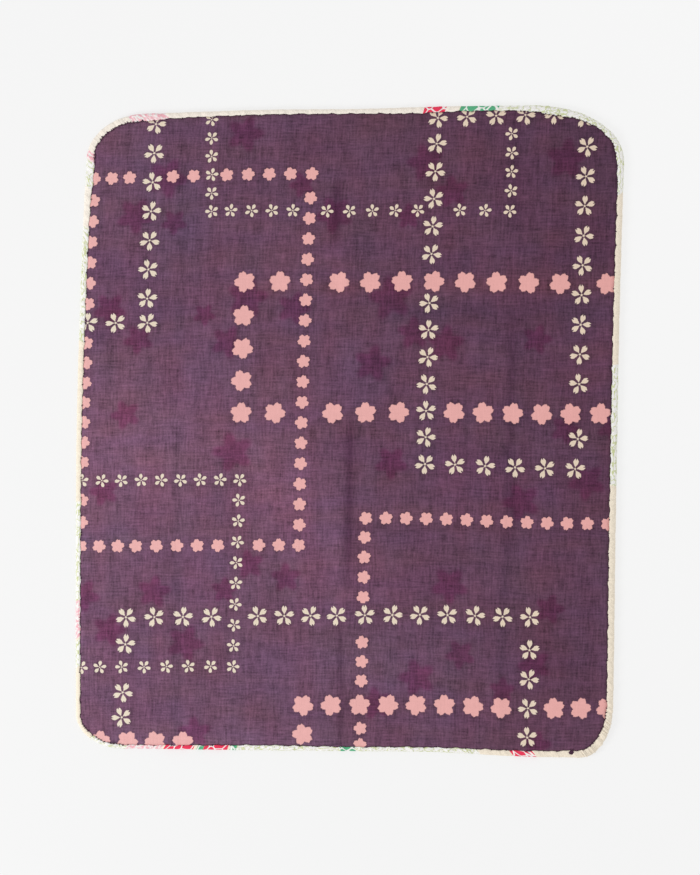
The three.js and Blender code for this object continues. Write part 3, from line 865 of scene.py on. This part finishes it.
# Which petal, and the place in it: p along its middle line from the blossom's middle, q to a side
place = node(tree, "Attribute", {}, attribute_name="blossom")["Vector"]
xyz = node(tree, "SeparateXYZ", {0: place})
flat_place = node(tree, "VectorMath", {0: place, 1: (1, 1, 0)}, operation="MULTIPLY")[0]
radius = node(tree, "VectorMath", {0: flat_place}, operation="LENGTH")["Value"]
angle = node(tree, "Math", {0: xyz[1], 1: xyz[0]}, operation="ARCTAN2")[0]
side_angle = node(tree, "Math", {0: angle, 1: math.pi / 5}, operation="PINGPONG")[0]
cosine = node(tree, "Math", {0: side_angle}, operation="COSINE")[0]
sine = node(tree, "Math", {0: side_angle}, operation="SINE")[0]
p = node(tree, "Math", {0: radius, 1: cosine}, operation="MULTIPLY")[0]
q = node(tree, "Math", {0: radius, 1: sine}, operation="MULTIPLY")[0]
is_pink = node(tree, "Math", {0: xyz[2], 1: 0.7}, operation="GREATER_THAN")[0]
smallness = node(tree, "Math", {0: xyz[2]}, operation="FRACT")[0]

# Cream petal: pointed at its base, widest past its middle, with a notch in its tip, and a dot in
# the blossom's middle. Each part is how far inside the outline a point is, in blossom radii.
PETAL_BASE, PETAL_END, PETAL_HALF_WIDTH = 0.15, 1.12, 0.255
length_share = node(tree, "MapRange", {"Value": p, "From Min": PETAL_BASE, "From Max": PETAL_END})[0]
fuller = node(tree, "Math", {0: length_share, 1: 1.25}, operation="POWER")[0]
half_turn = node(tree, "Math", {0: fuller, 1: math.pi}, operation="MULTIPLY")[0]
swell = node(tree, "Math", {0: half_turn}, operation="SINE")[0]
minus_q = node(tree, "Math", {0: q, 1: -1}, operation="MULTIPLY")[0]
side_terms = {0: swell, 1: PETAL_HALF_WIDTH, 2: minus_q}
inside_side = node(tree, "Math", side_terms, operation="MULTIPLY_ADD")[0]
notch_start = node(tree, "Math", {0: smallness, 1: 0.32, 2: 0.8}, operation="MULTIPLY_ADD")[0]
notch_edge = node(tree, "Math", {0: q, 1: 2.0, 2: notch_start}, operation="MULTIPLY_ADD")[0]
inside_notch = node(tree, "Math", {0: notch_edge, 1: p}, operation="SUBTRACT")[0]
inside_notch = node(tree, "Math", {0: inside_notch, 1: 0.5}, operation="MULTIPLY")[0]
petal = node(tree, "Math", {0: inside_side, 1: inside_notch}, operation="MINIMUM")[0]
dot = node(tree, "Math", {0: 0.1, 1: radius}, operation="SUBTRACT")[0]
cream_inside = node(tree, "Math", {0: petal, 1: dot}, operation="MAXIMUM")[0]

# Pink blossom: one filled shape of five lobes, each an oval with a notch in its end
LOBE_MIDDLE, LOBE_HALF_LENGTH, LOBE_HALF_WIDTH, LOBE_NOTCH = 0.45, 0.6, 0.41, 0.93
lobe_place = node(tree, "CombineXYZ", {0: p, 1: q})[0]
lobe_place = node(tree, "VectorMath", {0: lobe_place, 1: (LOBE_MIDDLE, 0, 0)}, operation="SUBTRACT")[0]
lobe_size = (LOBE_HALF_LENGTH, LOBE_HALF_WIDTH, 1)
lobe_place = node(tree, "VectorMath", {0: lobe_place, 1: lobe_size}, operation="DIVIDE")[0]
oval = node(tree, "VectorMath", {0: lobe_place}, operation="LENGTH")["Value"]
oval_terms = {0: oval, 1: -LOBE_HALF_WIDTH, 2: LOBE_HALF_WIDTH}
inside_oval = node(tree, "Math", oval_terms, operation="MULTIPLY_ADD")[0]
lobe_end = node(tree, "Math", {0: q, 1: 0.45, 2: LOBE_NOTCH}, operation="MULTIPLY_ADD")[0]
inside_end = node(tree, "Math", {0: lobe_end, 1: p}, operation="SUBTRACT")[0]
pink_inside = node(tree, "Math", {0: inside_oval, 1: inside_end}, operation="MINIMUM")[0]

inside = node(tree, "Mix", {"Factor": is_pink, 2: cream_inside, 3: pink_inside}, data_type="FLOAT")[0]
ragged = uneven(tree, cut_mm, RAGGED_SIZE, 1)
ragged_edge = node(tree, "MapRange", {"Value": ragged, "To Min": -0.06, "To Max": 0.06})[0]
inside = node(tree, "Math", {0: inside, 1: ragged_edge}, operation="ADD")[0]
clear_edge = {"Value": inside, "From Min": -0.04, "From Max": 0.04}
is_clear = node(tree, "MapRange", clear_edge, interpolation_type="SMOOTHSTEP")[0]
halo = node(tree, "MapRange", {"Value": inside, "From Min": -0.3, "From Max": -0.05})[0]

# The purple is darker towards the upper right: partly deeper dye and partly painted shade of the light
# falling off across the cloth. The dye also turned greyer and browner in broad patches along the
# yarns, and the back's blossoms show through as redder marks
FALLOFF_SHADE_WAY = (0.72, 0.28, 0)
falloff_shade_way = node(tree, "VectorMath", {0: cut_share, 1: FALLOFF_SHADE_WAY}, operation="DOT_PRODUCT")["Value"]
falloff_shade_mix = {"Factor": falloff_shade_way, 6: linear(PURPLE_LOW_LEFT), 7: linear(PURPLE_UP_RIGHT)}
ground = node(tree, "Mix", falloff_shade_mix, data_type="RGBA")[2]
tints = []
for size, tint in ((GREY_PATCH, GREYED), (BROWN_PATCH, BROWNED)):
    patches = uneven(tree, cut_mm, size, 1.5)
    is_tinted = node(tree, "MapRange", {"Value": patches, "From Min": 0.34, "From Max": 0.66})[0]
    tints.append((is_tinted, tint))
shown = node(tree, "Attribute", {}, attribute_name="show_through")["Vector"]
shown_reach = lobed_reach(tree, shown, 0.2)
shown_edge = {"Value": shown_reach, "From Min": 1.0, "From Max": 0.6, "To Max": 0.82}
shows = node(tree, "MapRange", shown_edge, interpolation_type="SMOOTHSTEP")[0]
for share, tint in (*tints, (shows, SHOWN)):
    tinted = node(tree, "VectorMath", {0: ground, 1: tint}, operation="MULTIPLY")[0]
    ground = node(tree, "Mix", {"Factor": share, 6: ground, 7: tinted}, data_type="RGBA")[2]

# Streaks of lighter and darker yarns both ways, slubs and bands of yarns, and a fine mottle: the
# size of each across and up, and its depth
tone = 1.0
for size, depth in (
    ((STREAK_WIDTH, STREAK_LENGTH, 1), 1.1),
    ((STREAK_LENGTH, STREAK_WIDTH, 1), 1.0),
    ((SLUB_WIDTH, SLUB_LENGTH, 1), 0.5),
    ((SLUB_LENGTH, SLUB_WIDTH, 1), 0.36),
    ((BAND_WIDTH, BAND_LENGTH, 1), 0.5),
    ((BAND_LENGTH, BAND_WIDTH, 1), 0.25),
    ((STREAK_WIDTH, STREAK_WIDTH, 1), 0.8),
):
    streaks = uneven(tree, cut_mm, size, 2)
    centred = node(tree, "Math", {0: streaks, 1: 0.5}, operation="SUBTRACT")[0]
    tone = node(tree, "Math", {0: centred, 1: depth, 2: tone}, operation="MULTIPLY_ADD")[0]
halo_tone = node(tree, "MapRange", {"Value": halo, "To Min": 1.0, "To Max": 0.87})[0]
tone = node(tree, "Math", {0: tone, 1: halo_tone}, operation="MULTIPLY")[0]
ground = node(tree, "VectorMath", {0: ground, "Scale": tone}, operation="SCALE")[0]
# The tint of painted crease shade and broad painted light and shade, partly uneven dye
fold_shade_and_dye = node(tree, "Attribute", {}, attribute_name="fold_shade_and_dye")["Vector"]
ground = node(tree, "VectorMath", {0: ground, 1: fold_shade_and_dye}, operation="MULTIPLY")[0]
# Within half a millimetre of the seam the purple turns dark: painted shade of the groove where the
# front cloth dips into the rim
from_seam = node(tree, "Attribute", {}, attribute_name="to_seam")["Fac"]
seam_shade_share = node(tree, "MapRange", {"Value": from_seam, "From Min": 0.0, "From Max": 0.5})[0]
ground = node(tree, "Mix", {"Factor": seam_shade_share, 6: linear(SEAM_SHADE_PURPLE), 7: ground}, data_type="RGBA")[2]

petal_shade = node(tree, "MapRange", {"Value": petal, "From Min": 0.08, "From Max": 0.22})[0]
cream_mix = {"Factor": petal_shade, 6: linear(CREAM), 7: linear(CREAM_SHADE)}
cream = node(tree, "Mix", cream_mix, data_type="RGBA")[2]
clear = node(tree, "Mix", {"Factor": is_pink, 6: cream, 7: linear(PINK)}, data_type="RGBA")[2]
# The cream and pink are darker and warmer towards the upper right: painted shade of the light's
# falloff, partly a warmer tint
warmed = node(tree, "VectorMath", {0: clear, 1: WARMER}, operation="MULTIPLY")[0]
clear = node(tree, "Mix", {"Factor": falloff_shade_way, 6: clear, 7: warmed}, data_type="RGBA")[2]
clear_range = {"Value": tone, "From Min": 0.5, "From Max": 1.5, "To Min": 0.93, "To Max": 1.05}
clear_tone = node(tree, "MapRange", clear_range)[0]
clear = node(tree, "VectorMath", {0: clear, "Scale": clear_tone}, operation="SCALE")[0]
surface = node(tree, "Mix", {"Factor": is_clear, 6: ground, 7: clear}, data_type="RGBA")[2]
tree.links.new(surface, shader.inputs["Base Color"])
bump = node(tree, "Bump", {"Height": tone, "Strength": 0.6, "Distance": YARN_BUMP * MM})[0]
tree.links.new(bump, shader.inputs["Normal"])
front_cloth.data.materials.append(front_cotton)

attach(front_cloth, "root")
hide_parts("front_cloth")


# Seam gathers
# The curved seam draws the front cloth's edge up into tiny tucks, which show as dark teeth on the
# pale rim, closest at the corners. One larger knot of it came out over the rim at the lower right.

# A tuck's length out of the seam, its width and height, how much thinner its outer end is, how
# high and how far out of the seam its middle lies, and how far apart the tucks are
GATHER_SIZE = (1.2, 0.75, 0.5)
GATHER_TAPER = 0.6
GATHER_HEIGHT = 2.8
GATHER_OUT = 0.15
GATHER_PITCH_CORNER, GATHER_PITCH_SIDE = 1.7, 8.0

# How long they are along the sides and at each corner, in the same order as above, as shares of
# their size, and how unevenly they turn, lengthen, widen and follow one another
SIDE_GATHERS = 0.7
CORNER_GATHERS = np.array([1.0, 0.9, 1.5, 0.8])
UNEVEN_TURN, UNEVEN_LENGTH = (-0.5, 0.5), (0.6, 1.2)
UNEVEN_WIDTH, UNEVEN_PITCH = (0.7, 1.2), (0.7, 1.5)
KNOT_PLACE = (119.4, -173.0, 3.0)
KNOT_TIMES = (2.2, 4.2, 2.6)

bpy.ops.mesh.primitive_uv_sphere_add(segments=8, ring_count=6, radius=0.5)
gather = bpy.context.object
bpy.ops.object.mode_set(mode="EDIT")
bpy.ops.transform.resize(value=GATHER_SIZE)
bpy.ops.mesh.select_all(action="DESELECT")
bpy.ops.object.mode_set(mode="OBJECT")
for vertex in gather.data.vertices:
    vertex.select = vertex.co.x > GATHER_SIZE[0] / 4
bpy.ops.object.mode_set(mode="EDIT")
bpy.ops.transform.resize(value=(1, GATHER_TAPER, GATHER_TAPER))
bpy.ops.object.mode_set(mode="OBJECT")
bpy.ops.object.shade_smooth()
bpy.ops.object.select_all(action="DESELECT")

# Places along the seam, closer together at the corners. Each gather points away from the seam,
# whose direction is taken over the next half millimetre.
SEAM_AHEAD = 0.5
seam_x, seam_y = laid(seam_points[:, 0], seam_points[:, 1])
seam_step = np.hypot(np.roll(seam_x, -1) - seam_x, np.roll(seam_y, -1) - seam_y)
seam_way = np.concatenate([[0], np.cumsum(seam_step)])
seam_x, seam_y = seam_x - MIDDLE_X, seam_y - MIDDLE_Y
random = np.random.default_rng(8)
gathers = []
way_there = 0.0
while way_there < seam_way[-1] - GATHER_PITCH_CORNER:
    near = np.interp(way_there, seam_way[:-1], corner_near)
    x, ahead_x = np.interp([way_there, way_there + SEAM_AHEAD], seam_way, np.append(seam_x, seam_x[0]))
    y, ahead_y = np.interp([way_there, way_there + SEAM_AHEAD], seam_way, np.append(seam_y, seam_y[0]))
    outward = math.atan2(ahead_y - y, ahead_x - x) - math.pi / 2 + random.uniform(*UNEVEN_TURN)
    corner_length = CORNER_GATHERS[rim_corner[np.searchsorted(seam_way, way_there)]]
    length = SIDE_GATHERS + (corner_length - SIDE_GATHERS) * near
    length = random.uniform(*UNEVEN_LENGTH) * length
    x += GATHER_OUT * math.cos(outward)
    y += GATHER_OUT * math.sin(outward)
    gathers.append((x, y, GATHER_HEIGHT, outward, (length, random.uniform(*UNEVEN_WIDTH), 1)))
    pitch = GATHER_PITCH_SIDE + (GATHER_PITCH_CORNER - GATHER_PITCH_SIDE) * near
    way_there += pitch * random.uniform(*UNEVEN_PITCH)
gathers.append((*KNOT_PLACE, math.pi / 2, KNOT_TIMES))

copies = []
for x, y, height, outward, times in gathers:
    copy = gather.copy()
    copy.data = gather.data.copy()
    place = Matrix.Translation((x * MM, y * MM, height * MM)) @ Matrix.Rotation(outward, 4, "Z")
    copy.data.transform(place @ Matrix.Diagonal((*[MM * share for share in times], 1)))
    bpy.context.scene.collection.objects.link(copy)
    copies.append(copy)
bpy.data.objects.remove(gather)
for copy in copies:
    copy.select_set(True)
bpy.context.view_layer.objects.active = copies[0]
bpy.ops.object.join()
seam_gathers = bpy.context.object
seam_gathers.name = "seam_gathers"
bpy.ops.object.select_all(action="DESELECT")

# The same cotton where the seam has crushed it: dark, since the dye and the shade both gather
# there, and mottled by its yarns, drawn at 1 mm
crushed_cotton, tree, shader = matt_material("crushed purple cotton", 0.92, 0.15)
CRUSHED_DARK, CRUSHED_LIGHT = "#2a1823", "#5d3b54"
DRAWN_MOTTLE, MOTTLE_BUMP = 1.0, 0.2
at = node(tree, "TexCoord", {})["Object"]
mottle = node(tree, "TexNoise", {"Vector": at, "Scale": 1 / (DRAWN_MOTTLE * MM), "Detail": 2})[0]
crushed_mix = {"Factor": mottle, 6: linear(CRUSHED_DARK), 7: linear(CRUSHED_LIGHT)}
crushed = node(tree, "Mix", crushed_mix, data_type="RGBA")[2]
tree.links.new(crushed, shader.inputs["Base Color"])
bump = node(tree, "Bump", {"Height": mottle, "Strength": 0.5, "Distance": MOTTLE_BUMP * MM})[0]
tree.links.new(bump, shader.inputs["Normal"])
seam_gathers.data.materials.clear()
seam_gathers.data.materials.append(crushed_cotton)

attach(seam_gathers, "root")


# Floor and light
# A plain pale table, lit so brightly that only a soft shadow of the rim shows on it, and one
# large soft light from the lower left, low enough to bring out the creases.

# The floor also glows, which keeps the shadow on it pale. The slope says how much the glow
# changes in a metre across and up.
FLOOR_SIZE = 6000.0
FLOOR_DIFFUSE, FLOOR_GLOW = 0.3, 0.615
FLOOR_GLOW_SLOPE = (0.1, 0.06, 0)
bpy.ops.mesh.primitive_plane_add(size=FLOOR_SIZE * MM)
floor = bpy.context.object
floor.name = "floor"
bpy.ops.object.select_all(action="DESELECT")
table, tree, shader = matt_material("pale matt table", 1.0, 0.0)
shader.inputs["Base Color"].default_value = (FLOOR_DIFFUSE,) * 3 + (1,)
floor_place = node(tree, "TexCoord", {})["Object"]
glow_terms = {0: floor_place, 1: FLOOR_GLOW_SLOPE}
glow_change = node(tree, "VectorMath", glow_terms, operation="DOT_PRODUCT")["Value"]
glow = node(tree, "Math", {0: glow_change, 1: FLOOR_GLOW}, operation="ADD")[0]
shader.inputs["Emission Color"].default_value = (1, 1, 1, 1)
tree.links.new(glow, shader.inputs["Emission Strength"])
floor.data.materials.append(table)

LIGHT_PLACE = (-850, -380, 550)
LIGHT_SIZE = 400.0
LIGHT_WATTS = 4.3
SKY = 0.83
light_data = bpy.data.lights.new("soft window light", "AREA")
light_data.size = LIGHT_SIZE * MM
light_data.energy = LIGHT_WATTS
light = bpy.data.objects.new("soft window light", light_data)
light.location = [part * MM for part in LIGHT_PLACE]
light.rotation_euler = (-light.location).to_track_quat("-Z", "Y").to_euler()
bpy.context.scene.collection.objects.link(light)
world = bpy.data.worlds.new("room")
world.use_nodes = True
sky = world.node_tree.nodes["Background"]
sky.inputs["Color"].default_value = (1, 1, 1, 1)
sky.inputs["Strength"].default_value = SKY
bpy.context.scene.world = world
bpy.context.scene.view_settings.view_transform = "Standard"
